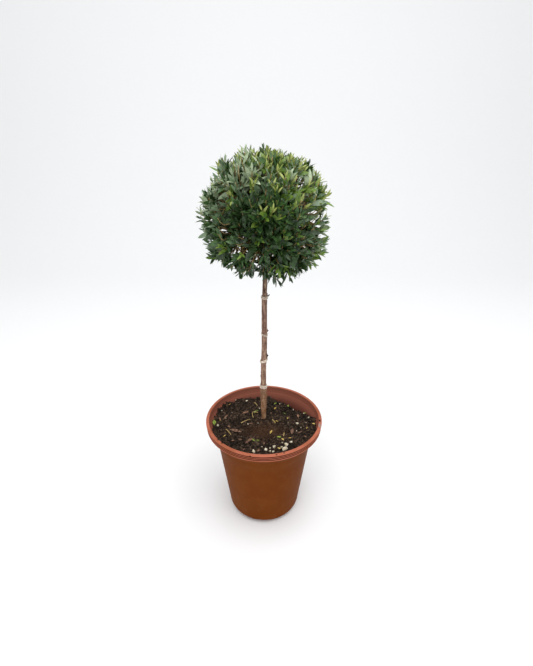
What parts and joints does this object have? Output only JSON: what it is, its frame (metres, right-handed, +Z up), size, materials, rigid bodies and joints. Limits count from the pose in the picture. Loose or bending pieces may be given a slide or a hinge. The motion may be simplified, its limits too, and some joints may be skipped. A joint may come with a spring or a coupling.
{
  "type": "standard lollipop topiary",
  "caption": "Evergreen standard with a clipped ball of small leaves on a bare straight stem, growing in a round plastic pot with a ribbed rim.",
  "frame": {"origin": "centre of the pot's flat underside, on the surface the pot stands on", "axes": "+Z up along the stem, -Y towards the front that the picture shows, +X to that view's right"},
  "size_m": [0.26, 0.26, 0.8081],
  "materials": {
    "pot": "matt terracotta-brown plastic with light scuffs",
    "soil": "dark crumbly potting mix with white grit",
    "bark": "greyish brown bark, darker red-brown near the crown",
    "twig": "reddish brown young bark",
    "tie": "weathered cream tape",
    "leaf": "glossy dark green leaves with paler new tips"
  },
  "bodies": {
    "root": {"pot": "pot", "soil": "soil", "trunk": "bark", "stem_tie_1": "tie", "stem_tie_2": "tie", "stem_tie_3": "tie", "stem_tie_4": "tie", "bough_upper_front_right": "twig", "bough_upper_back_right": "twig", "bough_upper_back_left": "twig", "bough_upper_front_left": "twig", "bough_lower_front": "twig", "bough_lower_right": "twig", "bough_lower_back_right": "twig", "bough_lower_back_left": "twig", "bough_lower_left": "twig", "foliage_top": "leaf", "foliage_upper_front_right": "leaf", "foliage_upper_back_right": "leaf", "foliage_upper_back_left": "leaf", "foliage_upper_front_left": "leaf", "foliage_lower_front": "leaf", "foliage_lower_right": "leaf", "foliage_lower_back_right": "leaf", "foliage_lower_back_left": "leaf", "foliage_lower_left": "leaf"}
  },
  "joints": []
}
